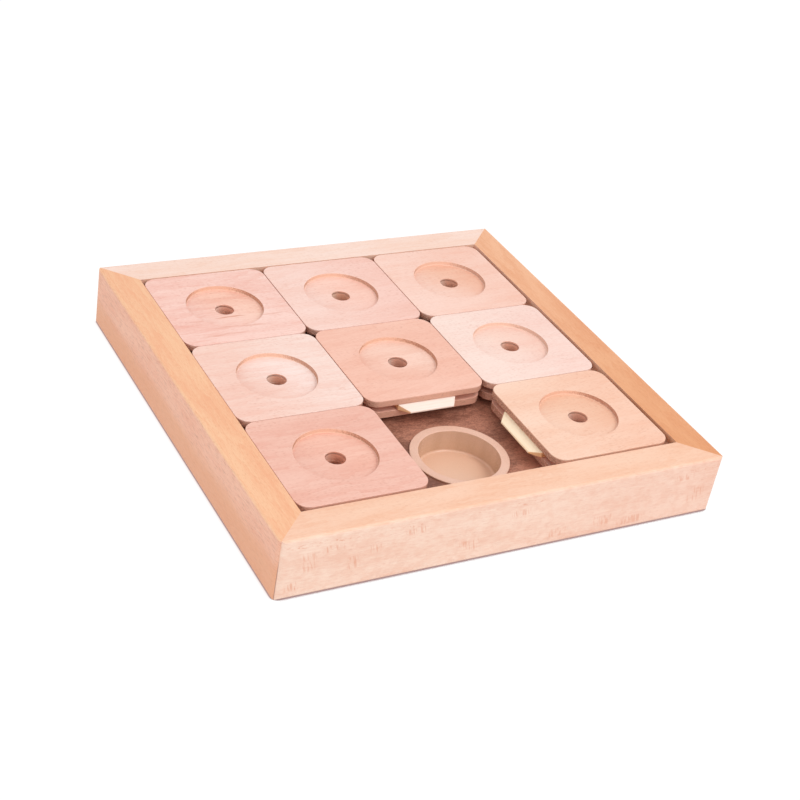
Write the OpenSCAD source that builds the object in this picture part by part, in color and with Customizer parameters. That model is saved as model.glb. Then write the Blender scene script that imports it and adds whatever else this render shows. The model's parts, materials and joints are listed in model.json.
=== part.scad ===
// Dog puzzle feeder: a wooden tray of nine treat cups under eight sliding tiles.
// The origin is the middle of the underside. +X is right, +Y is back, +Z is up.
// Every tile is two plates glued to a smaller core, which leaves a groove on all
// four sides. A tongue glued to its front side and one glued to its left side run
// in the grooves of its neighbours, so the tiles hold each other in the tray.

/* [Tiles] */
// Side of a square tile, across its top plate
tile_size = 85.2; // [75:0.1:110]
// Corner radius of a tile's top plate, seen from above
tile_corner_r = 9; // [6:0.5:14]
// Gap between two neighbouring tiles
seam_gap = 0.5; // [0.3:0.1:1.5]
// Thickness of a tile's top plate
top_plate_t = 4.6; // [4.2:0.1:8]
// Height of the groove between a tile's two plates
groove_h = 4.4; // [3.4:0.1:7]
// Thickness of a tile's bottom plate
bottom_plate_t = 4.8; // [3:0.1:8]
// How far the bottom plate stays inside the outline of the top plate
bottom_inset = 0.8; // [0.2:0.1:2]

/* [Pocket and finger hole] */
// Diameter of the shallow round pocket in a tile's top
pocket_d = 51.2; // [30:0.2:64]
// Depth of the pocket
pocket_depth = 2.8; // [1:0.1:3.3]
// Radius of the cove where the pocket's wall meets its floor
pocket_cove = 0.8; // [0.4:0.1:2.5]
// Diameter of the finger hole through the middle of a tile
finger_hole_d = 12.5; // [8:0.5:20]

/* [Tongues] */
// How far a tongue stands out of a tile's top plate
tongue_out = 5.7; // [4:0.1:7]
// Thickness of a tongue at its nose
tongue_nose_t = 1.2; // [0.8:0.1:2]
// Gap above a tongue, and below it, in the groove that it runs in
tongue_clear = 0.3; // [0.2:0.05:0.5]
// Room left past a tongue's nose in a tile's groove
tile_groove_spare = 2.3; // [1:0.1:4]
// Length that the mitre takes off an end of a tongue, at its nose
tongue_mitre = 6.4; // [2:0.1:9]
// The same at the right end of a front tongue, which is cut more bluntly
blunt_mitre = 3.4; // [1:0.1:9]
// Length of a tile's front tongue where it leaves the plates
front_tongue_len = 41; // [24:1:54]
// How far the front tongue sits to the right of the tile's middle
front_tongue_shift = -0.5; // [-4:0.5:4]
// Length of a tile's side tongue where it leaves the plates
side_tongue_len = 46; // [24:1:54]
// How far the side tongue sits behind the tile's middle
side_tongue_shift = -3; // [-4:0.5:4]

/* [Tray frame] */
// Width of a rail, seen from above
rail_w = 22.2; // [17:0.1:30]
// Radius of the frame's four upright corners, seen from above
corner_r = 4.5; // [3:0.1:8]
// Radius of the frame's outer edges, at the top and at the bottom
edge_r = 2; // [1:0.1:3]
// Looseness of a row of three tiles between two rails
tray_play = 3; // [2:0.1:5]
// Part of that looseness that lies at the left rail
play_left = 0.3; // [0.2:0.1:1.5]
// Part of that looseness that lies at the back rail
play_back = 0.9; // [0.2:0.1:1.5]
// Room left past a tongue's nose in a rail's groove
rail_groove_spare = 1.3; // [0.5:0.1:2.5]
// Depth to which a rail's own tongue strip is let into the rail
strip_seat = 6; // [4:0.5:8]
// Gap between an end of a tongue strip and the next rail's inner face
strip_end_gap = 3; // [1:0.5:8]

/* [Corner dowels] */
// Diameter of a dowel across a mitre joint
dowel_d = 6; // [4:0.5:7]
// Wood left between a dowel hole and the outer face of a rail
dowel_cover = 2; // [1.5:0.1:3]
// Gap round a dowel
dowel_fit = 0.05; // [0.02:0.01:0.1]
// Gap at each end of a dowel
dowel_end_gap = 0.5; // [0.2:0.1:1]

/* [Cup board and base] */
// Thickness of the board that carries the cups
board_t = 4; // [3:0.1:8]
// Thickness of the base panel
base_t = 4; // [3:0.1:8]
// Height of the base panel above the surface that the tray stands on
base_lift = 3.4; // [1:0.1:5]
// Depth of the rail grooves that hold the board and the base panel
panel_groove = 5; // [3:0.5:6.5]
// Gap round and above the board and the base panel in their grooves
panel_clear = 0.2; // [0.1:0.05:0.5]

/* [Cups] */
// Diameter of a cup's mouth
mouth_d = 51.6; // [40:0.2:60]
// Depth of a cup, from its rim to its floor
cup_depth = 15.2; // [11:0.1:30]
// Width of the flat rim round the mouth
rim_w = 5.7; // [4.5:0.1:7]
// Thickness of the rim
rim_t = 1.2; // [0.8:0.1:3]
// Thickness of a cup's side wall
cup_wall = 1.4; // [1:0.1:2.5]
// Thickness of a cup's floor
cup_floor_t = 1.5; // [1:0.1:3]
// How much smaller the radius is at a cup's floor than at its mouth
cup_draft = 0.3; // [0:0.1:2]
// Radius of the cove inside a cup, where its wall meets its floor
cup_cove = 1.6; // [0.5:0.1:4]
// Radius of the small round on the edges of the rim
rim_round = 0.5; // [0.2:0.05:0.6]
// Gap round a cup in its hole in the board
cup_fit = 0.4; // [0.2:0.1:1]
// Gap between a cup and the base panel
cup_lift = 0.6; // [0.2:0.1:3]
// Gap between the cup rims and the undersides of the tiles
tile_lift = 2.8; // [1:0.1:8]

/* [Hidden] */
$fn = 96;
ROWS = ["back", "middle", "front"];
COLUMNS = ["left", "middle", "right"];
LAST = 2; // the rows and columns run from 0 to this
VACANT = [1, 2]; // column and row of the place without a tile
TILE_PIECES = ["top_plate", "core", "bottom_plate", "front_tongue", "side_tongue"];
RAILS = ["front", "right", "back", "left"]; // each a quarter turn on from the last
GROOVED = [0, 3]; // the front and the left rail, which have a groove for tongues
TONGUED = [1, 2]; // the right and the back rail, which carry a tongue strip

function place_name(at) =
    at == [1, 1] ? "centre" : str(ROWS[at[1]], "_", COLUMNS[at[0]]);
PLACES = [for (row = [0:LAST], column = [0:LAST]) [column, row]];
TILES = [for (at = PLACES) if (at != VACANT) at];

// Distances in plan
pitch = tile_size + seam_gap;
tiles_across = LAST + 1;
inner = tiles_across * tile_size + LAST * seam_gap + tray_play;
outer = inner + 2 * rail_w;
tile_groove = tongue_out + tile_groove_spare;
core_size = tile_size - 2 * tile_groove;
bottom_size = tile_size - 2 * bottom_inset;
rail_groove = tongue_out + rail_groove_spare;
panel_size = inner + 2 * (panel_groove - panel_clear);
mouth_r = mouth_d / 2;
rim_r = mouth_r + rim_w;
cup_hole_r = mouth_r + cup_wall + cup_fit;

// Heights, from the surface that the tray stands on to the top of the tiles
board_slot_t = board_t + panel_clear;
base_slot_t = base_t + panel_clear;
cup_z = base_lift + base_t + cup_lift;
cup_floor_z = cup_z + cup_floor_t;
rim_z = cup_floor_z + cup_depth;
board_top_z = rim_z - rim_t;
board_z = board_top_z - board_t;
tile_z = rim_z + tile_lift;
groove_z = tile_z + bottom_plate_t;
top_plate_z = groove_z + groove_h;
rail_h = top_plate_z + top_plate_t;
tongue_z = groove_z + tongue_clear;
tongue_t = groove_h - 2 * tongue_clear;

// The dowels lie midway between the slots and grooves above and below them
dowel_heights = [(base_lift + base_slot_t + board_z) / 2,
                 (board_z + board_slot_t + groove_z) / 2];
mitre_middle = inner / 2 + rail_w / 2;
dowel_hole_half = sqrt(2) * (rail_w / 2 - dowel_cover) - dowel_d / 2;
through = 1; // how far a cutting shape runs past a face

function tile_x(column) = -inner / 2 + play_left + tile_size / 2 + column * pitch;
function tile_y(row) = inner / 2 - play_back - tile_size / 2 - row * pitch;

// Points along an arc from one angle to another, as [radius, height] pairs
function arc(middle, r, from, to, steps = 6) = [
    for (i = [0:steps])
        let (a = from + (to - from) * i / steps) middle + r * [cos(a), sin(a)]];

// A square of the given side with true round corners
module rounded_square(side, r) {
    half = side / 2 - r;
    square([side, side - 2 * r], center = true);
    square([side - 2 * r, side], center = true);
    for (x = [-half, half], y = [-half, half]) translate([x, y]) circle(r);
}

// A rectangle that stands on the x axis, with true round corners
module rounded_upright(width, height, r) {
    half = width / 2 - r;
    translate([-half, 0]) square([2 * half, height]);
    translate([-width / 2, r]) square([width, height - 2 * r]);
    for (x = [-half, half], y = [r, height - r]) translate([x, y]) circle(r);
}

// A square slab, centred on the tray
module slab(side, z, height) {
    translate([-side / 2, -side / 2, z]) cube([side, side, height]);
}

// The tray's outline seen from the front or the side, drawn out to its full depth
module rounded_bar(turn) {
    rotate([90, 0, turn])
        translate([0, 0, -outer / 2 - through])
            linear_extrude(outer + 2 * through) rounded_upright(outer, rail_h, edge_r);
}

// One quarter of the frame's block, between two mitre planes and round on its
// outer edges, before its cavity and its grooves are cut
module frame_quarter(turn) {
    intersection() {
        linear_extrude(rail_h) rounded_square(outer, corner_r);
        rounded_bar(0);
        rounded_bar(90);
        rotate(turn)
            translate([0, 0, -through])
                linear_extrude(rail_h + 2 * through)
                    polygon([[0, 0], [-outer, -outer], [outer, -outer]]);
    }
}

// Places its child along every dowel's axis, with z along the dowel
module at_dowels() {
    for (turn = [45:90:315], z = dowel_heights)
        rotate(turn)
            translate([mitre_middle * sqrt(2), 0, z])
                rotate([90, 0, 0]) children();
}

module rail(side) {
    color("burlywood") difference() {
        frame_quarter(90 * side);
        slab(inner, -through, rail_h + 2 * through);
        slab(inner + 2 * panel_groove, base_lift, base_slot_t);
        slab(inner + 2 * panel_groove, board_z, board_slot_t);
        for (grooved = GROOVED)
            if (side == grooved) slab(inner + 2 * rail_groove, groove_z, groove_h);
        for (tongued = TONGUED)
            if (side == tongued) slab(inner + 2 * strip_seat, tongue_z, tongue_t);
        at_dowels()
            cylinder(r = dowel_d / 2 + dowel_fit, h = 2 * dowel_hole_half, center = true);
    }
}

module corner_dowels() {
    color("wheat") at_dowels()
        cylinder(d = dowel_d, h = 2 * (dowel_hole_half - dowel_end_gap), center = true);
}

// A tongue whose top slopes to a thin nose and whose ends are mitred. It points
// along -y, and y = 0 is where it comes out, with edge_len as its length there.
module tongue(edge_len, root, right_mitre = tongue_mitre) {
    half = edge_len / 2;
    intersection() {
        linear_extrude(tongue_t)
            polygon([[-half, root], [-half, 0], [-half + tongue_mitre, -tongue_out],
                     [half - right_mitre, -tongue_out], [half, 0], [half, root]]);
        rotate([90, 0, 90])
            translate([0, 0, -edge_len])
                linear_extrude(2 * edge_len)
                    polygon([[root, 0], [-tongue_out, 0], [-tongue_out, tongue_nose_t],
                             [0, tongue_t], [root, tongue_t]]);
    }
}

module rail_tongue(side) {
    color("cornsilk")
        rotate(90 * side)
            translate([0, -inner / 2, tongue_z])
                mirror([0, 1, 0]) tongue(inner - 2 * strip_end_gap, strip_seat);
}

module base_panel() {
    color("tan") slab(panel_size, base_lift, base_t);
}

module cup_board() {
    color("sienna") difference() {
        slab(panel_size, board_z, board_t);
        for (at = PLACES)
            translate([(at[0] - 1) * pitch, (1 - at[1]) * pitch, board_z - through])
                cylinder(r = cup_hole_r, h = board_t + 2 * through);
    }
}

module cup(at) {
    floor_r = mouth_r - cup_draft;
    outer_round = cup_cove + cup_floor_t / 2;
    outer_floor_r = floor_r + cup_wall;
    color("burlywood")
        translate([(at[0] - 1) * pitch, (1 - at[1]) * pitch, 0])
            rotate_extrude()
                polygon(concat(
                    [[0, cup_z]],
                    arc([outer_floor_r - outer_round, cup_z + outer_round], outer_round, -90, 0),
                    [[mouth_r + cup_wall, board_top_z], [rim_r, board_top_z]],
                    arc([rim_r - rim_round, rim_z - rim_round], rim_round, 0, 90),
                    arc([mouth_r + rim_round, rim_z - rim_round], rim_round, 90, 180),
                    arc([floor_r - cup_cove, cup_floor_z + cup_cove], cup_cove, 0, -90),
                    [[0, cup_floor_z]]));
}

module finger_hole() {
    translate([0, 0, tile_z - through])
        cylinder(d = finger_hole_d, h = rail_h - tile_z + 2 * through);
}

module top_plate() {
    cove = min(pocket_cove, pocket_depth);
    pocket_r = pocket_d / 2;
    pocket_z = rail_h - pocket_depth;
    color("peachpuff") difference() {
        translate([0, 0, top_plate_z])
            linear_extrude(top_plate_t) rounded_square(tile_size, tile_corner_r);
        rotate_extrude()
            polygon(concat(
                [[0, pocket_z]],
                arc([pocket_r - cove, pocket_z + cove], cove, -90, 0),
                [[pocket_r, rail_h + through], [0, rail_h + through]]));
        finger_hole();
    }
}

module core() {
    color("burlywood") difference() {
        slab(core_size, groove_z, groove_h);
        finger_hole();
    }
}

module bottom_plate() {
    color("peachpuff") difference() {
        translate([0, 0, tile_z])
            linear_extrude(bottom_plate_t)
                rounded_square(bottom_size, tile_corner_r - bottom_inset);
        finger_hole();
    }
}

module front_tongue() {
    color("cornsilk")
        translate([front_tongue_shift, -tile_size / 2, tongue_z])
            tongue(front_tongue_len, tile_groove, blunt_mitre);
}

module side_tongue() {
    color("cornsilk")
        translate([-tile_size / 2, side_tongue_shift, tongue_z])
            rotate(-90) tongue(side_tongue_len, tile_groove);
}

module tile_piece(piece) {
    if (piece == "top_plate") top_plate();
    if (piece == "core") core();
    if (piece == "bottom_plate") bottom_plate();
    if (piece == "front_tongue") front_tongue();
    if (piece == "side_tongue") side_tongue();
}

for (side = [0:len(RAILS) - 1])
    rail(side);
for (side = TONGUED)
    rail_tongue(side);
corner_dowels();
base_panel();
cup_board();
for (at = PLACES)
    cup(at);
for (at = TILES, piece = TILE_PIECES)
    translate([tile_x(at[0]), tile_y(at[1]), 0]) tile_piece(piece);
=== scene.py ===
# %% [markdown]
# # A dog's puzzle feeder in beech
#
# The object is a mitred beech tray. Nine plastic cups sit in a dark board inside it, and eight
# wooden tiles slide over them with tongues in grooves. One place is left free, so a dog can push
# a tile into it and find the treat below.
#
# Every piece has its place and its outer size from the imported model, which is loaded first. The
# sizes of holes, pockets and walls are repeated here. This script adds what a drawing of the
# construction leaves out: eased edges, smooth curves, and wood, plastic and board that look like
# themselves.

import json
import math

import bmesh
import bpy
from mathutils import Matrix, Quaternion, Vector


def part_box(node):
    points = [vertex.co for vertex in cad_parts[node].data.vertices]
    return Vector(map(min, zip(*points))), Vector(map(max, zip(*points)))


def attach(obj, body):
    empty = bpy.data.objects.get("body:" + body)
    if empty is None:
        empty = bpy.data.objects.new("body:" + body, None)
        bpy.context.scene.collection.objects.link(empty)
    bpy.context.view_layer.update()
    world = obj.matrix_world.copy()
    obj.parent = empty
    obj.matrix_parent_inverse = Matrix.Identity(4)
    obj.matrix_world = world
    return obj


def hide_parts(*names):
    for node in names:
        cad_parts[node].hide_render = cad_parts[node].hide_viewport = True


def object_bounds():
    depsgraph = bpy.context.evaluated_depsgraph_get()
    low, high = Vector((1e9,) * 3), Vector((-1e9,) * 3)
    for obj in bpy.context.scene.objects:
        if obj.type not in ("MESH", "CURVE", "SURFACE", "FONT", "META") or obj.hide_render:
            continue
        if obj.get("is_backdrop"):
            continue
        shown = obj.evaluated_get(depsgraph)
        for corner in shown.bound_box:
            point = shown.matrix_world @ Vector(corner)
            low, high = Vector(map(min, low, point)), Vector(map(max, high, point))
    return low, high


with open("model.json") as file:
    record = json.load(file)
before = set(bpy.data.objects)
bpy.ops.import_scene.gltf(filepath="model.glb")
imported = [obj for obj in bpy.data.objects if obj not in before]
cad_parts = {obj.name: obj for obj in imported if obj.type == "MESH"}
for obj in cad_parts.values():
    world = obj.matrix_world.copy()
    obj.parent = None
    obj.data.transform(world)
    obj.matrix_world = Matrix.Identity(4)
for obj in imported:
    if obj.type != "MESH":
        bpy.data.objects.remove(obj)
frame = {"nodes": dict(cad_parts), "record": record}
cad_low, cad_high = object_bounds()
print("nodes:", len(frame["nodes"]), "size in mm:", [round(1000 * v, 1) for v in cad_high - cad_low])

# %% [markdown]
# ## The camera
#
# It stands in front of the tray and to its left, and looks down at its middle. It is rolled a
# little, so the tray seems to turn as it lies there. A long lens keeps its sides nearly parallel.

# %% Camera
CAMERA_AT = Vector((-0.4845, -0.7484, 0.5817))
CAMERA_LOOKS_AT = Vector((-0.0063, -0.0182, 0.0220))
CAMERA_ROLL = math.radians(10.68)
CAMERA_LENS = 72.69  # millimetres
CAMERA_SENSOR = 36  # millimetres


def make_camera():
    camera = bpy.data.objects.new("camera", bpy.data.cameras.new("camera"))
    bpy.context.collection.objects.link(camera)
    camera.data.lens = CAMERA_LENS
    camera.data.sensor_width = CAMERA_SENSOR
    camera.location = CAMERA_AT
    camera.rotation_mode = "QUATERNION"
    aim = (CAMERA_LOOKS_AT - CAMERA_AT).to_track_quat("-Z", "Y")
    camera.rotation_quaternion = aim @ Quaternion((0, 0, 1), CAMERA_ROLL)
    bpy.context.scene.camera = camera


make_camera()
print("camera is", round((CAMERA_LOOKS_AT - CAMERA_AT).length, 3), "m from the tray")

# %% [markdown]
# ## Writing node trees as arithmetic
#
# Materials and Geometry Nodes are both trees of nodes. Placing every Math node by hand makes long
# code, so one small class wraps a node's output, and Python's operators on it add the Math nodes.
# Every other kind of node comes from one method, which takes the node's type, its settings and
# what goes into its sockets.

# %% A wire between nodes
class Wire:
    """An output of a node. Arithmetic on it adds Math nodes to its tree."""

    def __init__(self, tree, socket):
        self.tree = tree
        self.socket = socket

    def node(self, kind, settings=None, sockets=None, out=0):
        return add_node(self.tree, kind, settings, sockets, out)

    def math(self, operation, *others):
        return self.node("ShaderNodeMath", {"operation": operation}, dict(enumerate((self, *others))))

    def __add__(self, other):
        return self.math("ADD", other)

    def __sub__(self, other):
        return self.math("SUBTRACT", other)

    def __mul__(self, other):
        return self.math("MULTIPLY", other)

    def __truediv__(self, other):
        return self.math("DIVIDE", other)

    def __rsub__(self, other):
        return (self * -1).math("ADD", other)

    __radd__ = __add__
    __rmul__ = __mul__

    def over(self, low, high):
        """0 below low, 1 above high and a smooth step between them. low may be the larger."""
        return self.node("ShaderNodeMapRange", {"interpolation_type": "SMOOTHSTEP"},
                         {"Value": self, "From Min": low, "From Max": high})


def add_node(tree, kind, settings=None, sockets=None, out=0):
    """Adds a node. Its settings are set first, then its sockets get values or wires."""
    node = tree.nodes.new(kind)
    for name, value in (settings or {}).items():
        setattr(node, name, value)
    for key, value in (sockets or {}).items():
        found = [s for s in node.inputs if s.identifier == key] if isinstance(key, str) else []
        socket = found[0] if found else node.inputs[key]
        if isinstance(value, Wire):
            tree.links.new(value.socket, socket)
        else:
            socket.default_value = value
    if not node.outputs:
        return None
    outputs = [s for s in node.outputs if s.identifier == out] if isinstance(out, str) else []
    return Wire(tree, outputs[0] if outputs else node.outputs[out])


print("wires ready")

# %% [markdown]
# Vectors, colours and noise need a few kinds of node again and again, so each gets a short function.
# Colours are written as they look on a screen and turned into amounts of light for the shader.

# %% Vectors, colours and noise
def vector(a, operation, b=(0, 0, 0), out=0):
    return a.node("ShaderNodeVectorMath", {"operation": operation}, {0: a, 1: b}, out)


def parts(a):
    """The x, y and z of a vector wire."""
    split = a.node("ShaderNodeSeparateXYZ", None, {0: a}).socket.node
    return [Wire(a.tree, output) for output in split.outputs]


def join(x, y, z, tree):
    return add_node(tree, "ShaderNodeCombineXYZ", None, {0: x, 1: y, 2: z})


def largest(wires):
    """The largest of several wires' values."""
    top = wires[0]
    for wire in wires[1:]:
        top = top.math("MAXIMUM", wire)
    return top


def mix(factor, a, b, tree, kind="MIX"):
    """Goes from colour a to colour b as the factor goes from 0 to 1."""
    return add_node(tree, "ShaderNodeMix", {"data_type": "RGBA", "blend_type": kind},
                    {"Factor_Float": factor, "A_Color": a, "B_Color": b}, "Result_Color")


def noise(place, stretch, detail=2.0, roughness=0.5):
    """Smooth noise from 0 to 1. stretch is how many lumps there are to a millimetre, per axis."""
    return place.node("ShaderNodeTexNoise", None,
                      {"Vector": vector(place, "MULTIPLY", stretch), "Scale": 1.0,
                       "Detail": detail, "Roughness": roughness})


def screen(red, green, blue):
    """A colour as it is picked on a screen, from 0 to 255, turned into light for the shader."""
    def to_light(value):
        value /= 255
        return value / 12.92 if value <= 0.04045 else ((value + 0.055) / 1.055) ** 2.4
    return (to_light(red), to_light(green), to_light(blue), 1.0)


print("a mid grey of 128 is", round(screen(128, 128, 128)[0], 3), "in light")

# %% [markdown]
# ## Beech
#
# Beech is pale, pinkish and fine. Three things make it look like beech: faint bands from the
# year's growth, fine fibres along the grain, and the short dark dashes of its rays. The rays are
# thin upright sheets inside the wood. Seen from above they are dashes, and seen from the side of
# the board they are broad faint flakes. So the pattern isn't painted on a surface: it is a solid
# pattern in space, and each face shows the cut that a saw would show there.

# %% The block of wood
MILLIMETRE = 0.001
RING_SPACING = 2.6  # millimetres between two years' growth
RING_WANDER = 13  # millimetres that a year's layer rises and falls along the board
RAY_CELL = (3.4, 0.58, 6.0)  # millimetres: along the grain, round the trunk and out from its middle
GRAIN_CLIMB = 0.03  # radians between the grain and the board's face
NEXT_CUT = (83.0, 41.0, 17.0)  # millimetres in the block from one seed's cut to the next


def wood_block(tree, centre, turn, lean, seed):
    """Places in a block of wood, in millimetres: x along the grain, z out through the years."""
    own = add_node(tree, "ShaderNodeTexCoord", out="Object")
    placed = own.node("ShaderNodeMapping", {"vector_type": "TEXTURE"},
                      {"Vector": own, "Location": centre, "Rotation": (lean, GRAIN_CLIMB, turn),
                       "Scale": (MILLIMETRE,) * 3})
    return vector(placed, "ADD", [step * seed for step in NEXT_CUT])


def growth_bands(block):
    """1 in the dark late wood of each year, falling to 0 in the early wood."""
    wander = noise(block, (0.009, 0.04, 0.06), 4.0, 0.6)
    height = parts(block)[2] + wander * RING_WANDER
    return (height / RING_SPACING).math("FRACT").math("POWER", 2.5)


def ray_flecks(block):
    """1 inside the dashes and flakes that the rays make, and 0 between them."""
    cells = vector(block, "DIVIDE", RAY_CELL)
    wobble = (noise(block, (0.3, 0.9, 0.3), 2.0) - 0.5) * 0.8
    ragged = vector(cells, "ADD", join(wobble, wobble * 0.4, wobble, block.tree))
    spots = cells.node("ShaderNodeTexVoronoi", {"feature": "F1"}, {"Vector": ragged, "Scale": 1.0})
    chance = parts(Wire(block.tree, spots.socket.node.outputs["Color"]))[0].over(0.1, 0.8)
    crowd = noise(block, (0.02, 0.05, 0.05), 2.0).over(0.3, 0.65)
    return spots.over(0.42, 0.2) * chance * (crowd * 0.6 + 0.4)


print("beech rays lie in cells of", RAY_CELL, "mm")

# %% [markdown]
# The material cuts the block of wood with the piece's own faces. Where a face crosses the grain it
# is end grain, which drinks more oil and looks darker. A piece can bring its own marks as well.

# %% Beech material
def finish_material(tree, colour, roughness, height, depth, strength=0.3):
    """Ends a material in one Principled shader. The height makes bumps of a depth in metres."""
    bump = add_node(tree, "ShaderNodeBump", None,
                    {"Strength": strength, "Distance": depth, "Height": height})
    shader = add_node(tree, "ShaderNodeBsdfPrincipled", None,
                      {"Base Color": colour, "Roughness": roughness, "Normal": bump})
    add_node(tree, "ShaderNodeOutputMaterial", None, {"Surface": shader})


def new_material(name):
    material = bpy.data.materials.new(name)
    material.use_nodes = True
    material.node_tree.nodes.clear()
    return material


def deeper(colour, amount):
    """A darker and redder tone of a wood's colour."""
    red, green, blue, alpha = colour
    return (red * (1 - 0.55 * amount), green * (1 - 0.85 * amount), blue * (1 - amount), alpha)


def millimetres(tree):
    """The place on the object itself, in millimetres."""
    own = add_node(tree, "ShaderNodeTexCoord", out="Object")
    return vector(own, "DIVIDE", (MILLIMETRE,) * 3)


def steepness(facing):
    """0 on a level face and 1 on an upright one."""
    return 1 - parts(facing)[2].math("ABSOLUTE")


def along_grain(facing, turn):
    """1 where a face looks along the grain, and 0 where the grain runs in the face."""
    grain = (math.cos(turn), math.sin(turn), 0.0)
    return vector(facing, "DOT_PRODUCT", grain, "Value").math("ABSOLUTE")


def multiply(factor, colour, tint, tree):
    """As the factor goes to 1, the colour's red, green and blue are multiplied by the tint's."""
    return mix(factor, colour, (*tint, 1.0), tree, "MULTIPLY")


def beech(name, light, dark, centre=(0, 0, 0), turn=0.0, lean=0.14, seed=0, bands=0.5, flecks=0.3,
          side=None, marks=None):
    """Beech with its own two tones, and two more on its upright faces if side gives them.

    marks, if given, is a function that adds what was done to this piece or what grew in it, and on
    some pieces painted light and shade.
    """
    material = new_material(name)
    tree = material.node_tree
    block = wood_block(tree, centre, turn, lean, seed)
    facing = add_node(tree, "ShaderNodeTexCoord", out="Normal")
    upright = steepness(facing)
    late = growth_bands(block)
    cloud = noise(block, (0.014, 0.06, 0.06), 2.0)
    streak = noise(block, (0.035, 0.55, 0.5), 4.0, 0.7)
    fibre = noise(block, (0.22, 2.2, 2.0), 2.0, 0.7)
    fleck = ray_flecks(block)
    shade = late * (1 - upright * 0.6) * (bands * 0.6)
    shade = shade + (cloud - 0.5) * 1.8 + (streak - 0.5) * 1.2 + (fibre - 0.5) * 1.7
    shade = (shade * 0.7 + 0.36).over(0.0, 1.0)
    colour = mix(shade, light, dark, tree)
    if side:
        colour = mix(upright.over(0.3, 0.7), colour, mix(shade, *side, tree), tree)
    colour = mix(fleck * (1 - upright * 0.7) * flecks, colour, deeper(dark, 0.4), tree)
    end_grain = along_grain(facing, turn).over(0.5, 0.95)
    colour = mix(end_grain * (0.45 + fibre * 0.4), colour, deeper(dark, 0.35), tree)
    if marks:
        colour = marks(tree, colour, facing, fibre)
    roughness = 0.5 + fibre * 0.12 + end_grain * 0.15
    finish_material(tree, colour, roughness, fibre * 0.7 - fleck * 0.5, 0.00012)
    return material


print("beech ready")

# %% [markdown]
# ## The rails
#
# Each rail is cut from another board, so each has its own tone. The grain runs along the rail,
# which is what shows at the mitres: the bands of one rail meet those of the next at a right angle.

# %% Marks on the rails
def mitre_lines(tree, colour, facing):
    """The thin dark line of glue where two rails meet. It shows on the lower part of a corner."""
    x, y, z = parts(millimetres(tree))
    off_corner = (x.math("ABSOLUTE") - y.math("ABSOLUTE")).math("ABSOLUTE")
    line = off_corner.over(0.45, 0.1) * z.over(30.0, 20.0)
    return mix(line * steepness(facing).over(0.2, 0.6) * 0.75, colour, screen(140, 92, 84), tree)


def edge_highlight(tree, colour, facing, strength):
    """A painted highlight: a paler line, not quite even, along the top edge that sandpaper has
    rounded.
    """
    up = parts(facing)[2]
    uneven = noise(millimetres(tree), (0.12, 0.12, 0.12), 3.0, 0.7).over(0.35, 0.65)
    line = up.over(0.2, 0.55) * up.over(0.97, 0.75) * (uneven * 0.7 + 0.3)
    return mix(line * strength, colour, screen(255, 232, 214), tree)


# A rail's marks: a painted highlight along its top edge, and the glue lines at its mitres.
def plain_rail(tree, colour, facing, fibre):
    return mitre_lines(tree, edge_highlight(tree, colour, facing, 0.15), facing)


def right_rail_fade(tree, colour, facing, fibre):
    """This board is paler and pinker towards its far end."""
    far = parts(millimetres(tree))[1].over(-140, 120)
    return plain_rail(tree, multiply(far, colour, (1.11, 1.28, 1.58), tree), facing, fibre)


TOP_EDGE_HEIGHT = 35.6  # millimetres, where chips lie just below the front rail's top edge
FLAKE_GROUPS = (  # place along the rail, height, half width and half height, all in millimetres
    (-133, 23, 6, 8), (-118, 30, 8, 3), (-104, 17, 5, 6), (-92, 24, 5, 4), (-140, 8, 7, 4),
    (-66, 31, 9, 3), (-28, 12, 9, 5), (4, 29, 8, 3), (34, 8, 8, 4), (66, 10, 9, 5),
    (88, 6, 12, 4), (124, 31, 9, 3), (136, 16, 7, 7))


def front_rail_flakes(tree, colour, facing, fibre):
    """The front face is cut across the rays, so they show as groups of short upright flakes."""
    place = millimetres(tree)
    x, y, z = parts(place)
    groups = []
    for middle, height, half_width, half_height in FLAKE_GROUPS:
        across = (x - middle).math("ABSOLUTE").over(half_width, half_width * 0.5)
        upwards = (z - height).math("ABSOLUTE").over(half_height, half_height * 0.5)
        groups.append(across * upwards)
    crowd = largest(groups)
    outside = parts(facing)[1].over(-0.4, -0.8)
    slanted = vector(place, "ADD", join(z * 0.25, 0.0, 0.0, tree))
    stroke = noise(slanted, (0.75, 0.75, 0.09), 2.0).over(0.5, 0.6)
    near_edge = (z - TOP_EDGE_HEIGHT).math("ABSOLUTE").over(2.2, 0.8)
    chips = noise(place, (0.3, 0.3, 0.8), 3.0, 0.7).over(0.55, 0.66)
    spread = noise(place, (0.03, 0.03, 0.03), 1.0).over(0.35, 0.6)
    blotch = noise(place, (0.16, 0.16, 0.2), 3.0, 0.6)
    flake = stroke * crowd * 0.5 + chips * near_edge * spread * 0.7 + blotch.over(0.35, 0.75) * 0.3
    rosier = x.over(-60, 150) * outside
    colour = multiply(rosier, colour, (0.98, 0.91, 0.90), tree)
    colour = mix(flake * outside, colour, screen(226, 160, 130), tree)
    dashes = noise(place, (0.2, 1.6, 1.7), 3.0, 0.65).over(0.55, 0.72)
    colour = mix(dashes * outside * 0.3, colour, screen(206, 150, 128), tree)
    return mitre_lines(tree, edge_highlight(tree, colour, facing, 0.3), facing)


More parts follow.
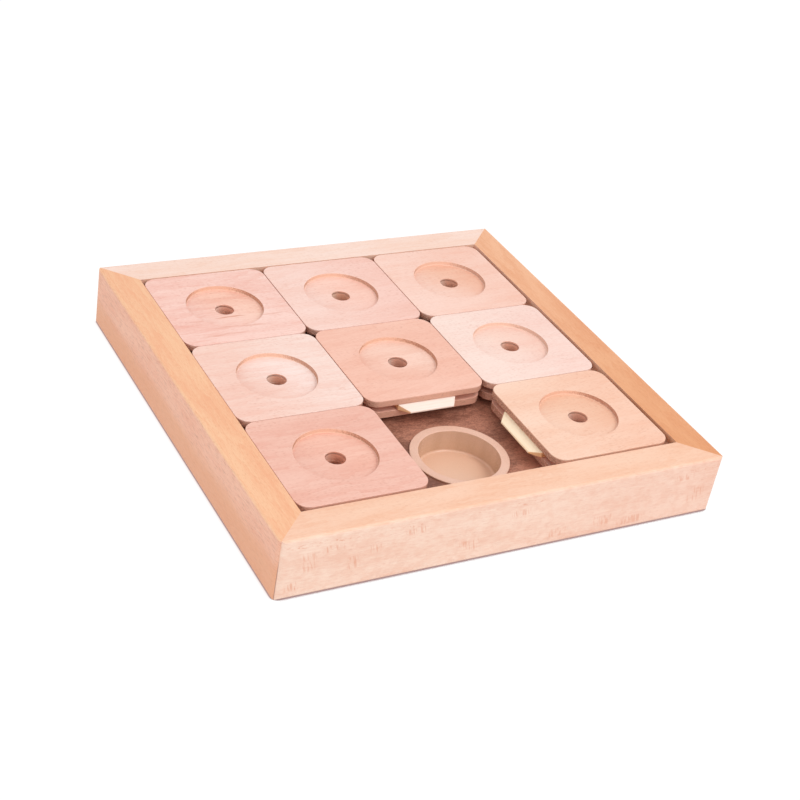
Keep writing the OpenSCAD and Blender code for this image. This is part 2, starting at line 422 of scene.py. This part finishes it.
def left_rail_heart(tree, colour, facing, fibre):
    """The saw left a pinker layer at the top of the outer face and a more orange one below it."""
    place = millimetres(tree)
    y, z = parts(place)[1:]
    wave = noise(place, (0.02, 0.02, 0.1), 3.0)
    below = (z + y * 0.02 + (wave - 0.5) * 12).over(26.0, 14.0)
    outside = parts(facing)[0].over(-0.4, -0.8)
    orange = mix(fibre, screen(235, 173, 134), screen(219, 154, 113), tree)
    colour = mix(below * outside * 0.7, colour, orange, tree)
    dashes = noise(place, (1.6, 0.17, 1.7), 3.0, 0.65).over(0.5, 0.68)
    colour = mix(dashes * outside * (0.5 - below * 0.25), colour, screen(186, 134, 112), tree)
    return mitre_lines(tree, edge_highlight(tree, colour, facing, 0.12), facing)


print("groups of flakes on the front rail:", len(FLAKE_GROUPS))

# %% [markdown]
# The four boards differ: the back one is the palest and the right one is orange. A rail's outer
# face shows another cut of the board than its top, so it has two tones of its own.

# %% Rail finishes
ALONG_X, ALONG_Y = 0.0, math.pi / 2
RAILS = {  # tones on top, tones on the outer face, the way of the grain, how the years lie, marks
    "front": ((screen(243, 201, 175), screen(237, 183, 151)),
              (screen(246, 216, 197), screen(238, 194, 172)), ALONG_X, 0.15, front_rail_flakes),
    "back": ((screen(246, 218, 205), screen(242, 203, 183)),
             (screen(250, 212, 190), screen(240, 188, 160)), ALONG_X, 0.25, plain_rail),
    "left": ((screen(243, 193, 153), screen(237, 171, 131)),
             (screen(241, 189, 163), screen(230, 163, 134)), ALONG_Y, 0.35, left_rail_heart),
    "right": ((screen(228, 163, 116), screen(217, 143, 95)),
              (screen(242, 190, 155), screen(228, 165, 125)), ALONG_Y, 0.08, right_rail_fade),
}


def paint(node, material):
    """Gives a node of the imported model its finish."""
    mesh = frame["nodes"][node].data
    mesh.materials.clear()
    mesh.materials.append(material)


for seed, (side, (top, outside, turn, lean, marks)) in enumerate(RAILS.items(), start=1):
    low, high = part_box(side + "_rail")
    paint(side + "_rail", beech(side + "_rail_beech", *top, (low + high) / 2, turn, lean, seed,
                                bands=0.6, flecks=0.35, side=outside, marks=marks))
print("rails painted:", len(RAILS))

# %% [markdown]
# ## Plates and cups from one rule
#
# A tile's plate has a round hole and a round pocket, but a square outline with round corners. A
# cup is round all over. Both are rings stacked one inside the next, so one Geometry Nodes tree
# makes both. It takes a profile, which is a chain of points: x is a ring's size, y says how square
# it is, from 0 to 1, and z is its height. Every row of a grid then becomes one ring.

# %% A tree that turns a profile into rings
SIDE_STEPS = 16  # columns along a straight side
CORNER_STEPS = 8  # columns round a corner
COLUMNS = 4 * (SIDE_STEPS + CORNER_STEPS)
SAME_PLACE = 1e-6  # metres, below which two points become one
RING_INPUTS = (("Profile", "NodeSocketObject"), ("Rings", "NodeSocketInt"),
               ("Half size", "NodeSocketFloat"), ("Corner radius", "NodeSocketFloat"),
               ("Centre", "NodeSocketVector"), ("Finish", "NodeSocketMaterial"))


def ring_tree():
    tree = bpy.data.node_groups.new("rings from a profile", "GeometryNodeTree")
    for name, kind in RING_INPUTS:
        tree.interface.new_socket(name, in_out="INPUT", socket_type=kind)
    tree.interface.new_socket("Geometry", in_out="OUTPUT", socket_type="NodeSocketGeometry")
    given = add_node(tree, "NodeGroupInput").socket.node
    value = {name: Wire(tree, given.outputs[name]) for name, kind in RING_INPUTS}

    grid = add_node(tree, "GeometryNodeMeshGrid", None,
                    {"Vertices X": value["Rings"], "Vertices Y": COLUMNS + 1})
    index = add_node(tree, "GeometryNodeInputIndex")
    ring = (index / (COLUMNS + 1)).math("FLOOR")
    column = (index - ring * (COLUMNS + 1)).math("MODULO", COLUMNS)

    profile = add_node(tree, "GeometryNodeObjectInfo", {"transform_space": "RELATIVE"},
                       {"Object": value["Profile"]}, "Geometry")
    point = add_node(tree, "GeometryNodeSampleIndex", {"data_type": "FLOAT_VECTOR"},
                     {0: profile, "Value": add_node(tree, "GeometryNodeInputPosition"), "Index": ring})
    size, squareness, height = parts(point)

    per_side = SIDE_STEPS + CORNER_STEPS
    side = (column / per_side).math("FLOOR")
    step = column - side * per_side
    along = (step / SIDE_STEPS).math("MINIMUM", 1.0) * 2 - 1
    bend = ((step - SIDE_STEPS) / CORNER_STEPS).math("MAXIMUM", 0.0) * (math.pi / 2)
    straight = value["Half size"] - value["Corner radius"]

    def outline(radius):
        """The rounded square as x and y on its right-hand side, before the quarter turns."""
        return (straight + radius * bend.math("COSINE"),
                straight * along + radius * bend.math("SINE"))

    x, y = outline(value["Corner radius"] + size - value["Half size"])
    outer_x, outer_y = outline(value["Corner radius"])
    angle = outer_y.math("ARCTAN2", outer_x)
    x = x * squareness + size * angle.math("COSINE") * (1 - squareness)
    y = y * squareness + size * angle.math("SINE") * (1 - squareness)
    place = join(x, y, height, tree)
    turned = place.node("ShaderNodeVectorRotate", {"rotation_type": "Z_AXIS"},
                        {"Vector": place, "Angle": side * (math.pi / 2)})

    shaped = add_node(tree, "GeometryNodeSetPosition", None,
                      {"Geometry": grid, "Position": vector(turned, "ADD", value["Centre"])})
    closed = add_node(tree, "GeometryNodeMergeByDistance", None,
                      {"Geometry": shaped, "Distance": SAME_PLACE})
    solid = add_node(tree, "GeometryNodeRealizeInstances", None, {"Geometry": closed})
    painted = add_node(tree, "GeometryNodeSetMaterial", None,
                       {"Geometry": solid, "Material": value["Finish"]})
    add_node(tree, "NodeGroupOutput", None, {0: painted})
    return tree


RINGS = ring_tree()
print("ring tree:", len(RINGS.nodes), "nodes,", COLUMNS, "columns")

# %% [markdown]
# The tree runs once for each piece and leaves a plain mesh, so the finished piece needs no
# modifier. Arcs in a profile are only points along a circle.

# %% Run the tree on a profile
def make_rings(name, points, centre, half_size, corner_radius, finish):
    """Makes one piece from a profile, as a plain mesh at the origin."""
    chain = bpy.data.meshes.new(name + "_profile")
    chain.from_pydata(points, [(i, i + 1) for i in range(len(points) - 1)], [])
    helper = bpy.data.objects.new(name + "_profile", chain)
    piece = bpy.data.objects.new(name, bpy.data.meshes.new(name))
    for thing in (helper, piece):
        bpy.context.collection.objects.link(thing)
    modifier = piece.modifiers.new("rings", "NODES")
    modifier.node_group = RINGS
    values = (helper, len(points), half_size, corner_radius, centre, finish)
    sockets = [item for item in RINGS.interface.items_tree if item.in_out == "INPUT"]
    for socket, value in zip(sockets, values):
        modifier[socket.identifier] = value
    shaped = piece.evaluated_get(bpy.context.evaluated_depsgraph_get())
    mesh = bpy.data.meshes.new_from_object(shaped)
    piece.modifiers.clear()
    piece.data = mesh
    mesh.name = name
    mesh.shade_smooth()
    bpy.data.objects.remove(helper)
    return piece


def arc(middle_size, middle_height, radius, start, end, square=0, steps=4):
    """Points along an arc of the profile. The angles are in degrees, from outwards towards up."""
    found = []
    for i in range(steps + 1):
        angle = math.radians(start + (end - start) * i / steps)
        size = middle_size + radius * math.cos(angle)
        found.append((size, square, middle_height + radius * math.sin(angle)))
    return found


print("an arc of four steps has", len(arc(0, 0, 1, 0, 90)), "points")

# %% [markdown]
# ## The tiles
#
# A tile is a top plate, a smaller core and a bottom plate. The cutter leaves the pocket's wall and
# the finger hole browner than the sanded faces, because it rubs as it cuts. The wall's brown is
# also painted shade of the recess, and the hole's colour is painted light, paler on its walls that
# face right. The plates' edges are eased by hand with sandpaper. A shaded edge needs its faces to
# stay flat, so every arc is held by one more ring close beside it.

# %% Details and profile of a plate
# These sizes are in metres, as the model's are.
HOLE_RADIUS = 0.00625
POCKET_RADIUS = 0.0256
POCKET_DEPTH = 0.0028
POCKET_COVE = 0.0008
CORNER_RADIUS = 0.0090  # of the top plate's outline
EASED = 0.0004  # radius of a sanded edge round a hole
EASED_SIDE = 0.00028  # radius of a sanded edge round a plate
HOLD = 0.00008  # how close the ring lies that keeps a face flat beside an arc


def plate_profile(low, high, half, pocketed):
    """The plate's cut surface: up its hole, over its top, down its side and back underneath."""
    floor = high - POCKET_DEPTH if pocketed else high
    points = [(HOLE_RADIUS, 0, low), (HOLE_RADIUS, 0, floor - EASED - HOLD)]
    points += arc(HOLE_RADIUS + EASED, floor - EASED, EASED, 180, 90)
    points += [(HOLE_RADIUS + EASED + HOLD, 0, floor)]
    if pocketed:
        cove_middle = POCKET_RADIUS - POCKET_COVE
        points += [(cove_middle - HOLD, 0, floor)]
        points += arc(cove_middle, floor + POCKET_COVE, POCKET_COVE, -90, 0, steps=6)
        points += arc(POCKET_RADIUS + EASED / 2, high - EASED / 2, EASED / 2, 180, 90)
        points += [(POCKET_RADIUS + EASED / 2 + HOLD, 0, high)]
    points += [(half - EASED_SIDE - HOLD, 1, high)]
    points += arc(half - EASED_SIDE, high - EASED_SIDE, EASED_SIDE, 90, 0, 1)
    points += [(half, 1, high - EASED_SIDE - HOLD), (half, 1, low + EASED_SIDE + HOLD)]
    points += arc(half - EASED_SIDE, low + EASED_SIDE, EASED_SIDE, 0, -90, 1)
    points += [(half - EASED_SIDE - HOLD, 1, low), (HOLE_RADIUS + HOLD, 0, low)]
    return points + points[:1]


low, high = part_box("centre_tile_top_plate")
print("a top plate has", len(plate_profile(low.z, high.z, (high.x - low.x) / 2, True)), "rings")

# %% [markdown]
# The marks are placed from the tile's middle. Across the grain the cutter tears the fibres, so a
# wall is darker and rougher where it crosses the grain than where it runs along it.

# %% The cutter's marks
POCKET_REACH = (0.0285, 0.0275)  # a steep face nearer to the tile's middle is in the pocket
HOLE_REACH = (0.0085, 0.0075)  # and one nearer than this is in the finger hole
# The streaks are darker grain in the back left tile. Each has its place from the tile's middle, its
# half length and its half width in metres, and its strength.
STREAKS = (
    (0.000, -0.0100, 0.014, 0.0010, 0.9), (-0.022, -0.0150, 0.014, 0.0012, 0.4),
    (0.027, -0.0160, 0.012, 0.0010, 0.4), (0.002, -0.0260, 0.026, 0.0014, 0.5),
    (-0.012, -0.0340, 0.022, 0.0012, 0.4))


def cut_colours(tree, facing, turn, wall_pale, hole_light_tint):
    """The colours of the pocket's wall, of a plate's side and of the finger hole, with painted light
    in the hole.
    """
    across = along_grain(facing, turn).over(0.2, 0.95)
    tears = noise(millimetres(tree), (1.1, 1.1, 0.9), 3.0, 0.75)
    torn = (across * 0.8 + (tears - 0.5) * 1.8).over(0.0, 1.0)
    # The wall's brown is the cutter's browner wood and painted shade of the recess as well.
    wall = mix(torn, screen(240, 192, 166), screen(184, 130, 106), tree)
    wall = mix(wall_pale, wall, screen(250, 222, 206), tree)
    hatch = noise(millimetres(tree), (0.5, 0.5, 1.6), 3.0, 0.8)
    hatched = (across * 0.5 + 0.05 + (hatch - 0.5) * 2.6).over(0.0, 1.0)
    side = mix(hatched, screen(224, 170, 146), screen(128, 78, 56), tree)
    # Painted light: the hole is paler on its walls that face right, where light falls in, and darker
    # on those that face left.
    hole = mix(parts(facing)[0].over(0.9, -0.6), screen(255, 228, 212), screen(246, 182, 156), tree)
    hole = mix(tears.over(0.35, 0.65) * 0.3, hole, screen(222, 152, 128), tree)
    return wall, side, multiply(1.0, hole, hole_light_tint, tree)


def cutter_marks(centre, turn, pocket_floor_shading, right_tint, wall_pale, hole_light_tint, streaks=()):
    """Tones across a tile, browner wood where a cutter went, and painted light and shade in the pocket
    and the hole. All are placed from its middle.
    """
    def marks(tree, colour, facing, fibre):
        own = add_node(tree, "ShaderNodeTexCoord", out="Object")
        away = vector(vector(own, "SUBTRACT", (centre.x, centre.y, 0.0)), "MULTIPLY", (1, 1, 0))
        distance = vector(away, "LENGTH", out="Value")
        x, y = parts(away)[:2]
        colour = multiply(x.over(-0.035, 0.035), colour, right_tint, tree)
        # The pocket's floor gets its own tone and painted shade and bounce light, strongest towards
        # the back right near the wall.
        in_pocket = distance.over(POCKET_RADIUS + 0.0002, POCKET_RADIUS - 0.0008)
        shaded = (x + y).over(-0.024, 0.018) * 0.85 + 0.15
        colour = multiply(in_pocket * shaded, colour, pocket_floor_shading, tree)
        sway = noise(own, (60, 60, 60), 2.0) * 0.005 - 0.0025
        for streak_x, streak_y, half_length, half_width, strength in streaks:
            line = (y - streak_y + sway).math("ABSOLUTE").over(half_width, 0)
            line = line * (x - streak_x).math("ABSOLUTE").over(half_length, half_length * 0.3)
            colour = mix(line * strength, colour, screen(214, 142, 116), tree)
        wall, side, hole = cut_colours(tree, facing, turn, wall_pale, hole_light_tint)
        steep = steepness(facing)
        cut = steep.over(0.02, 0.25)
        near = distance.over(*POCKET_REACH)
        below_top = parts(own)[2].over(cad_high.z - 0.0004, cad_high.z - 0.0010)
        colour = mix((1 - near) * cut * below_top * 0.8, colour, side, tree)
        colour = mix(near * distance.over(0.0100, 0.0200) * cut, colour, wall, tree)
        return mix(distance.over(*HOLE_REACH) * steep.over(0.4, 0.85), colour, hole, tree)
    return marks


print("cutter marks ready")

# %% [markdown]
# No two tiles come from the same board. Each has its own tones and its own cut through the years.

# %% Tile tones
# Each tile has two tones, the turn of its grain in degrees, the lean of its years and the strength
# of its bands. Then come the pocket floor's tint, which is partly painted shade and bounce light,
# what the tile's right half does to the colour, how pale the pocket's wall is, and a tint on the
# hole's painted light.
TILE_TONES = {
    "back_left": (screen(247, 207, 195), screen(237, 178, 162), -3, 0.24, 0.6,
                  (1.01, 0.96, 0.88), (1.00, 1.03, 1.04), 0.0, (1.04, 1.04, 1.06)),
    "back_middle": (screen(246, 213, 202), screen(240, 195, 180), 2, 0.12, 0.5,
                    (1.03, 0.99, 0.95), (0.98, 0.89, 0.87), 0.1, (1.00, 1.04, 1.00)),
    "back_right": (screen(246, 210, 196), screen(241, 192, 173), 1, 0.14, 0.4,
                   (0.96, 0.85, 0.75), (0.98, 0.92, 0.89), 0.2, (0.96, 1.00, 1.00)),
    "middle_left": (screen(244, 209, 195), screen(239, 190, 173), -2, 0.30, 0.7,
                    (1.03, 1.09, 1.13), (1.02, 1.14, 1.20), 0.1, (1.04, 1.08, 1.08)),
    "centre": (screen(243, 194, 175), screen(235, 176, 154), 4, 0.18, 0.5,
               (1.04, 1.19, 1.25), (1.00, 1.00, 1.00), 0.0, (0.96, 0.98, 1.00)),
    "middle_right": (screen(246, 221, 210), screen(242, 204, 191), 0, 0.20, 0.3,
                     (0.99, 0.91, 0.86), (0.99, 0.94, 0.94), 0.4, (1.04, 1.08, 1.08)),
    "front_left": (screen(239, 191, 174), screen(231, 171, 152), -2, 0.22, 0.8,
                   (1.03, 1.01, 0.98), (1.00, 1.00, 1.01), 0.0, (0.98, 0.87, 0.82)),
    "front_right": (screen(245, 208, 186), screen(239, 190, 163), 3, 0.24, 0.4,
                    (0.96, 0.90, 0.84), (0.98, 0.90, 0.87), 0.0, (1.00, 1.04, 1.06)),
}
LOWER_TONES = screen(244, 194, 174), screen(224, 168, 148)
LOWER_LEAN = -0.2  # the years of a lower plate lean the other way
print("tiles with a tone:", len(TILE_TONES))

# %% [markdown]
# ## Standing in for a node
#
# A piece that is remade here still belongs to the imported model. It moves with the same body as its
# node, and the node is hidden.

# %% Stand in for a node
BODIES = frame["record"]["behaviour"]["bodies"]


def stand_in(piece, node):
    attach(piece, next(body for body, nodes in BODIES.items() if node in nodes))
    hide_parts(node)
    return piece


print("bodies:", ", ".join(BODIES))

# %% [markdown]
# The top plate has the pocket. The bottom plate has the same outline, set back by a millimetre or
# so, and only the hole. The core between them keeps the model's own shape.

# %% Make the plates
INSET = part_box("centre_tile_bottom_plate")[0].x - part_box("centre_tile_top_plate")[0].x


def make_plate(place, layer, finish, pocketed):
    node = f"{place}_tile_{layer}"
    low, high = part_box(node)
    half = (high.x - low.x) / 2
    centre = Vector(((low.x + high.x) / 2, (low.y + high.y) / 2, 0))
    corner = CORNER_RADIUS if pocketed else CORNER_RADIUS - INSET
    profile = plate_profile(low.z, high.z, half, pocketed)
    return stand_in(make_rings(node + "_sanded", profile, centre, half, corner, finish), node)


for seed, (place, tones) in enumerate(TILE_TONES.items()):
    light, dark, turn, lean, bands, *cut_tints = tones
    low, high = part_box(place + "_tile_top_plate")
    centre = (low + high) / 2
    turn = math.radians(turn)
    streaks = STREAKS if place == "back_left" else ()
    marks = cutter_marks(centre, turn, *cut_tints, streaks)
    top = beech(place + "_top_beech", light, dark, centre, turn, lean, 3 * seed + 1, bands,
                flecks=0.55, marks=marks)
    lower = beech(place + "_lower_beech", *LOWER_TONES, centre, turn, LOWER_LEAN, 3 * seed + 2, bands,
                  flecks=0.4, marks=marks)
    make_plate(place, "top_plate", top, True)
    make_plate(place, "bottom_plate", lower, False)
    paint(place + "_tile_core", lower)
print("plates made:", 2 * len(TILE_TONES))

# %% [markdown]
# ## Tongues
#
# The tiles' tongues are strips of a paler wood, and the two strips on the rails are browner wood,
# made darker still as painted shade, since they show only in the gaps. They are planed and cut with
# a knife, so their edges are crisp but not sharp. Here the model's own solid is copied, its loose
# triangles are joined into faces, and a narrow bevel goes round its edges.

# %% Ease the edges of a copy of a node
def eased_copy(node, width, finish):
    mesh = frame["nodes"][node].data.copy()
    shape = bmesh.new()
    shape.from_mesh(mesh)
    bmesh.ops.remove_doubles(shape, verts=shape.verts, dist=SAME_PLACE)
    bmesh.ops.dissolve_limit(shape, angle_limit=math.radians(1), verts=shape.verts, edges=shape.edges)
    bmesh.ops.bevel(shape, geom=list(shape.edges), offset=width, segments=2, profile=0.5,
                    affect="EDGES", clamp_overlap=True)
    bmesh.ops.recalc_face_normals(shape, faces=shape.faces)
    shape.to_mesh(mesh)
    shape.free()
    mesh.materials.clear()
    mesh.materials.append(finish)
    piece = bpy.data.objects.new(node + "_eased", mesh)
    bpy.context.collection.objects.link(piece)
    return stand_in(piece, node)


def tongue_wood(name, light, dark, turn, seed):
    """A pale wood with a straight grain and no rays."""
    material = new_material(name)
    tree = material.node_tree
    block = wood_block(tree, (0, 0, 0), turn, 0.3, seed)
    streak = noise(block, (0.02, 1.1, 0.8), 3.0, 0.6)
    fibre = noise(block, (0.2, 5.0, 4.0), 2.0, 0.7)
    colour = mix((streak * 0.8 + fibre * 0.3).over(0.25, 0.9), light, dark, tree)
    facing = add_node(tree, "ShaderNodeTexCoord", out="Normal")
    end_grain = along_grain(facing, turn).over(0.3, 0.7)
    colour = mix(end_grain * 0.9, colour, screen(246, 190, 134), tree)
    finish_material(tree, colour, 0.55 + fibre * 0.1, fibre, 0.0001)
    return material


TONGUE_EDGE = 0.00035  # metres that the knife takes off an edge
FRONT_TONGUE = screen(255, 240, 230), screen(250, 225, 209)
SIDE_TONGUE = screen(255, 237, 210), screen(255, 225, 188)
# Painted shade: the rail strips are darker than their beech, as they show only in the shaded gaps.
RAIL_STRIP_SHADED = screen(206, 150, 122), screen(182, 126, 98)
TONGUE_WOOD = {
    "front": tongue_wood("tongue_wood_along_x", *FRONT_TONGUE, ALONG_X, 3),
    "side": tongue_wood("tongue_wood_along_y", *SIDE_TONGUE, ALONG_Y, 5),
}
STRIP_WOOD = {
    "back": tongue_wood("strip_wood_along_x", *RAIL_STRIP_SHADED, ALONG_X, 7),
    "right": tongue_wood("strip_wood_along_y", *RAIL_STRIP_SHADED, ALONG_Y, 9),
}
for place in TILE_TONES:
    for way, finish in TONGUE_WOOD.items():
        eased_copy(f"{place}_tile_{way}_tongue", TONGUE_EDGE, finish)
for side, finish in STRIP_WOOD.items():
    eased_copy(side + "_rail_tongue", TONGUE_EDGE, finish)
print("tongues eased:", len(TONGUE_WOOD) * len(TILE_TONES) + len(STRIP_WOOD))

# %% [markdown]
# ## The cups
#
# A cup is one moulding in beige plastic: a flat rim that lies on the board, a nearly upright wall
# and a floor that meets it in a cove. The ring tree makes it from a round profile. The plastic is
# even in colour, so it is its gloss that makes it look like plastic. Inside, the wall is painted
# darker as shade, with streaks of painted sheen.

# %% Cup profile and plastic
# These sizes are in metres too.
MOUTH_RADIUS = 0.0258
CUP_WALL = 0.0014
CUP_DRAFT = 0.0003  # how much narrower the floor is than the mouth, so that the cup leaves its mould
CUP_COVE = 0.0016  # radius between the floor and the wall
CUP_FLOOR = 0.0015
RIM_THICKNESS = 0.0012
RIM_ROUND = 0.0005  # radius of the rim's two edges


def cup_profile(low, high, rim_radius):
    """From the middle of the floor, over the rim and round the outside, to the middle underneath."""
    floor = low + CUP_FLOOR
    floor_radius = MOUTH_RADIUS - CUP_DRAFT
    foot_round = CUP_COVE + CUP_FLOOR / 2
    outer_floor = floor_radius + CUP_WALL
    under_rim = high - RIM_THICKNESS
    points = [(0, 0, floor), (floor_radius - CUP_COVE - HOLD, 0, floor)]
    points += arc(floor_radius - CUP_COVE, floor + CUP_COVE, CUP_COVE, -90, 0, steps=6)
    points += arc(MOUTH_RADIUS + RIM_ROUND, high - RIM_ROUND, RIM_ROUND, 180, 90)
    points += [(MOUTH_RADIUS + RIM_ROUND + HOLD, 0, high), (rim_radius - RIM_ROUND - HOLD, 0, high)]
    points += arc(rim_radius - RIM_ROUND, high - RIM_ROUND, RIM_ROUND, 90, 0)
    points += [(rim_radius - HOLD, 0, under_rim), (MOUTH_RADIUS + CUP_WALL, 0, under_rim)]
    points += arc(outer_floor - foot_round, low + foot_round, foot_round, 0, -90, steps=6)
    points += [(outer_floor - foot_round - HOLD, 0, low), (0, 0, low)]
    return points


def cup_plastic():
    material = new_material("cup_plastic")
    tree = material.node_tree
    place = millimetres(tree)
    cloud = noise(place, (0.05, 0.05, 0.12), 2.0)
    grain = noise(place, (2.2, 2.2, 2.2), 2.0)
    facing = add_node(tree, "ShaderNodeTexCoord", out="Normal")
    # Painted shade and sheen: the upright wall inside is darker, in streaks that follow the way it
    # faces.
    wall = steepness(facing).over(0.3, 0.9)
    sheen = noise(vector(facing, "MULTIPLY", (1, 1, 0)), (1.7, 1.7, 1.7), 2.0).over(0.35, 0.65)
    inside = mix(sheen, screen(208, 175, 147), screen(186, 152, 122), tree)
    colour = mix(cloud.over(0.3, 0.7), screen(239, 195, 173), screen(234, 188, 165), tree)
    deep = parts(place)[2].over(22.0, 14.0)
    colour = mix(deep, colour, screen(237, 194, 166), tree)
    colour = mix(wall * 0.6, colour, inside, tree)
    finish_material(tree, colour, 0.22 + grain * 0.1, grain, 0.00005, strength=0.15)
    return material


PLASTIC = cup_plastic()
cups = [node for node in frame["nodes"] if node.endswith("_cup")]
for node in cups:
    low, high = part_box(node)
    middle = Vector(((low.x + high.x) / 2, (low.y + high.y) / 2, 0))
    rim_radius = (high.x - low.x) / 2
    profile = cup_profile(low.z, high.z, rim_radius)
    # a cup is round, so its corner radius only spaces the columns
    cup = make_rings(node + "_moulded", profile, middle, rim_radius, rim_radius / 2, PLASTIC)
    stand_in(cup, node)
print("cups turned:", len(cups))

# %% [markdown]
# ## Board, base and dowels
#
# The board that carries the cups is stained dark, so that a light cup stands out for the dog. The
# stain takes unevenly: it pools in small specks and leaves paler streaks. In the open place it is
# painted darker on the left, as shade beside the front left tile, and paler at the front right, as
# painted light. The base panel below is plain sanded board.

# %% Dark board
def dark_board():
    material = new_material("dark_stained_board")
    tree = material.node_tree
    block = wood_block(tree, (0, 0, 0), ALONG_X, 0.1, 2)
    cloud = noise(block, (0.02, 0.05, 0.05), 3.0, 0.6)
    streak = noise(block, (0.08, 0.9, 0.9), 3.0, 0.7)
    speck = noise(block, (0.28, 0.6, 0.6), 4.0, 0.8)
    x, y = parts(millimetres(tree))[:2]
    grit = noise(block, (1.0, 1.6, 1.6), 2.0, 0.7)
    shade = (cloud - 0.5) * 1.5 + (streak - 0.5) * 0.5 + (speck - 0.5) * 1.3 + (grit - 0.5) * 1.2
    # Painted shade on the left, beside the front left tile, and painted light at the front right.
    left, front_right = x.over(-10, -36), x.over(25, 45) * y.over(-70, -110)
    shade = shade + left * 0.4 - front_right * 0.5
    colour = mix((shade * 0.8 + 0.5).over(0.0, 1.0), screen(209, 144, 118), screen(120, 73, 56), tree)
    finish_material(tree, colour, 0.55 + speck * 0.2, speck, 0.00012, strength=0.35)
    return material


HIDDEN_TONES = screen(252, 209, 186), screen(240, 184, 152)
paint("cup_board", dark_board())
paint("base_panel", beech("base_panel_beech", *HIDDEN_TONES, lean=0.3, seed=40, bands=0.6))
paint("corner_dowels", beech("dowel_beech", *HIDDEN_TONES, turn=math.radians(45), seed=41))
print("board, base and dowels painted")

# %% [markdown]
# ## Floor and light
#
# The floor and the background are plain white. They are white because of their own colour as the
# camera sees it, not because of more light, so the wood keeps its tone. The tray's shadow is painted
# into that colour: a thin dark line where it touches the floor, which ambient occlusion finds.

# %% Floor
FLOOR_HALF = 8.0  # metres
SHADOW_REACH = 0.0035  # metres from the tray within which the floor is darker
WHITE = (1.0, 1.0, 1.0, 1.0)
PAPER = (0.88, 0.88, 0.89, 1.0)


def seen_by(tree, kinds):
    """1 for the given kinds of ray, such as those from the camera, and 0 for the rest."""
    path = add_node(tree, "ShaderNodeLightPath").socket.node
    return largest([Wire(tree, path.outputs[kind]) for kind in kinds])


def floor_as_seen(tree):
    """White, with a painted contact shadow: darker in a thin line at the tray's foot, and paler there
    on its left side.
    """
    left_edge = cad_low.x / MILLIMETRE
    open_sky = add_node(tree, "ShaderNodeAmbientOcclusion", {"samples": 8},
                        {"Distance": SHADOW_REACH}, "AO")
    left = parts(millimetres(tree))[0].over(left_edge + 0.5, left_edge - 0.5)
    clear = open_sky.over(0.5, 0.61) * (1 - left) + open_sky.over(0.4, 0.92) * left
    contact = mix(left, screen(166, 132, 130), screen(244, 230, 226), tree)
    return mix(clear, contact, WHITE, tree)


def white_floor():
    material = new_material("white_floor")
    tree = material.node_tree
    paper = add_node(tree, "ShaderNodeBsdfDiffuse", None, {"Color": PAPER})
    # The floor also glows for the rays that light the tray, so it lights the tray's lower edges from
    # below.
    glow = add_node(tree, "ShaderNodeEmission", None, {"Color": WHITE, "Strength": 0.95})
    soft = add_node(tree, "ShaderNodeMixShader", None, {0: 0.6, 1: paper, 2: glow})
    white = add_node(tree, "ShaderNodeEmission", None,
                     {"Color": floor_as_seen(tree), "Strength": 1.06})
    by_camera = seen_by(tree, ["Is Camera Ray"]) * 0.95
    both = add_node(tree, "ShaderNodeMixShader", None, {0: by_camera, 1: soft, 2: white})
    add_node(tree, "ShaderNodeOutputMaterial", None, {"Surface": both})
    return material


def make_floor():
    mesh = bpy.data.meshes.new("floor")
    corners = [(x * FLOOR_HALF, y * FLOOR_HALF, 0) for x, y in ((-1, -1), (1, -1), (1, 1), (-1, 1))]
    mesh.from_pydata(corners, [], [(0, 1, 2, 3)])
    mesh.materials.append(white_floor())
    floor = bpy.data.objects.new("floor", mesh)
    bpy.context.collection.objects.link(floor)
    floor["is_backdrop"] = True


make_floor()
print("floor is", 2 * FLOOR_HALF, "m wide")

# %% [markdown]
# The white room gives most of the light. A large soft lamp high at the front right models the form,
# a second one lifts the front faces, and a weak one on the left keeps the left faces from going
# grey.

# %% World and lamps
LAMPS = {  # place and width in metres, and power in watts
    "key lamp": ((0.8, -0.9, 2.2), 0.9, 14),
    "front fill": ((0.3, -1.4, 1.1), 0.6, 4),
    "left fill": ((-1.6, -0.4, 0.4), 0.8, 3.2),
}
ROOM_LIGHT = 0.80


def make_world():
    world = bpy.data.worlds.new("white room")
    bpy.context.scene.world = world
    world.use_nodes = True
    tree = world.node_tree
    tree.nodes.clear()
    seen = seen_by(tree, ["Is Camera Ray", "Is Glossy Ray", "Is Transmission Ray"])
    room = add_node(tree, "ShaderNodeBackground", None, {"Color": WHITE, "Strength": ROOM_LIGHT})
    white = add_node(tree, "ShaderNodeBackground", None, {"Color": WHITE, "Strength": 1.0})
    both = add_node(tree, "ShaderNodeMixShader", None, {0: seen, 1: room, 2: white})
    add_node(tree, "ShaderNodeOutputWorld", None, {"Surface": both})


def make_lamp(name, place, size, power):
    lamp = bpy.data.objects.new(name, bpy.data.lights.new(name, "AREA"))
    bpy.context.collection.objects.link(lamp)
    lamp.data.shape = "DISK"
    lamp.data.size = size
    lamp.data.energy = power
    lamp.location = place
    lamp.rotation_mode = "QUATERNION"
    lamp.rotation_quaternion = (-Vector(place)).to_track_quat("-Z", "Y")


make_world()
for name, (place, size, power) in LAMPS.items():
    make_lamp(name, place, size, power)
bpy.context.scene.view_settings.view_transform = "Standard"
print("lamps in the white room:", len(LAMPS))

# %% [markdown]
# ## The size after dressing
#
# The imported model's size is printed when it is loaded, and here how much dressing has grown it.
# The dressed model has to stay inside the imported model's box.

# %% Finish
low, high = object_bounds()
print("grown by, in mm:", [round(1000 * v, 2) for v in (high - low) - (cad_high - cad_low)])
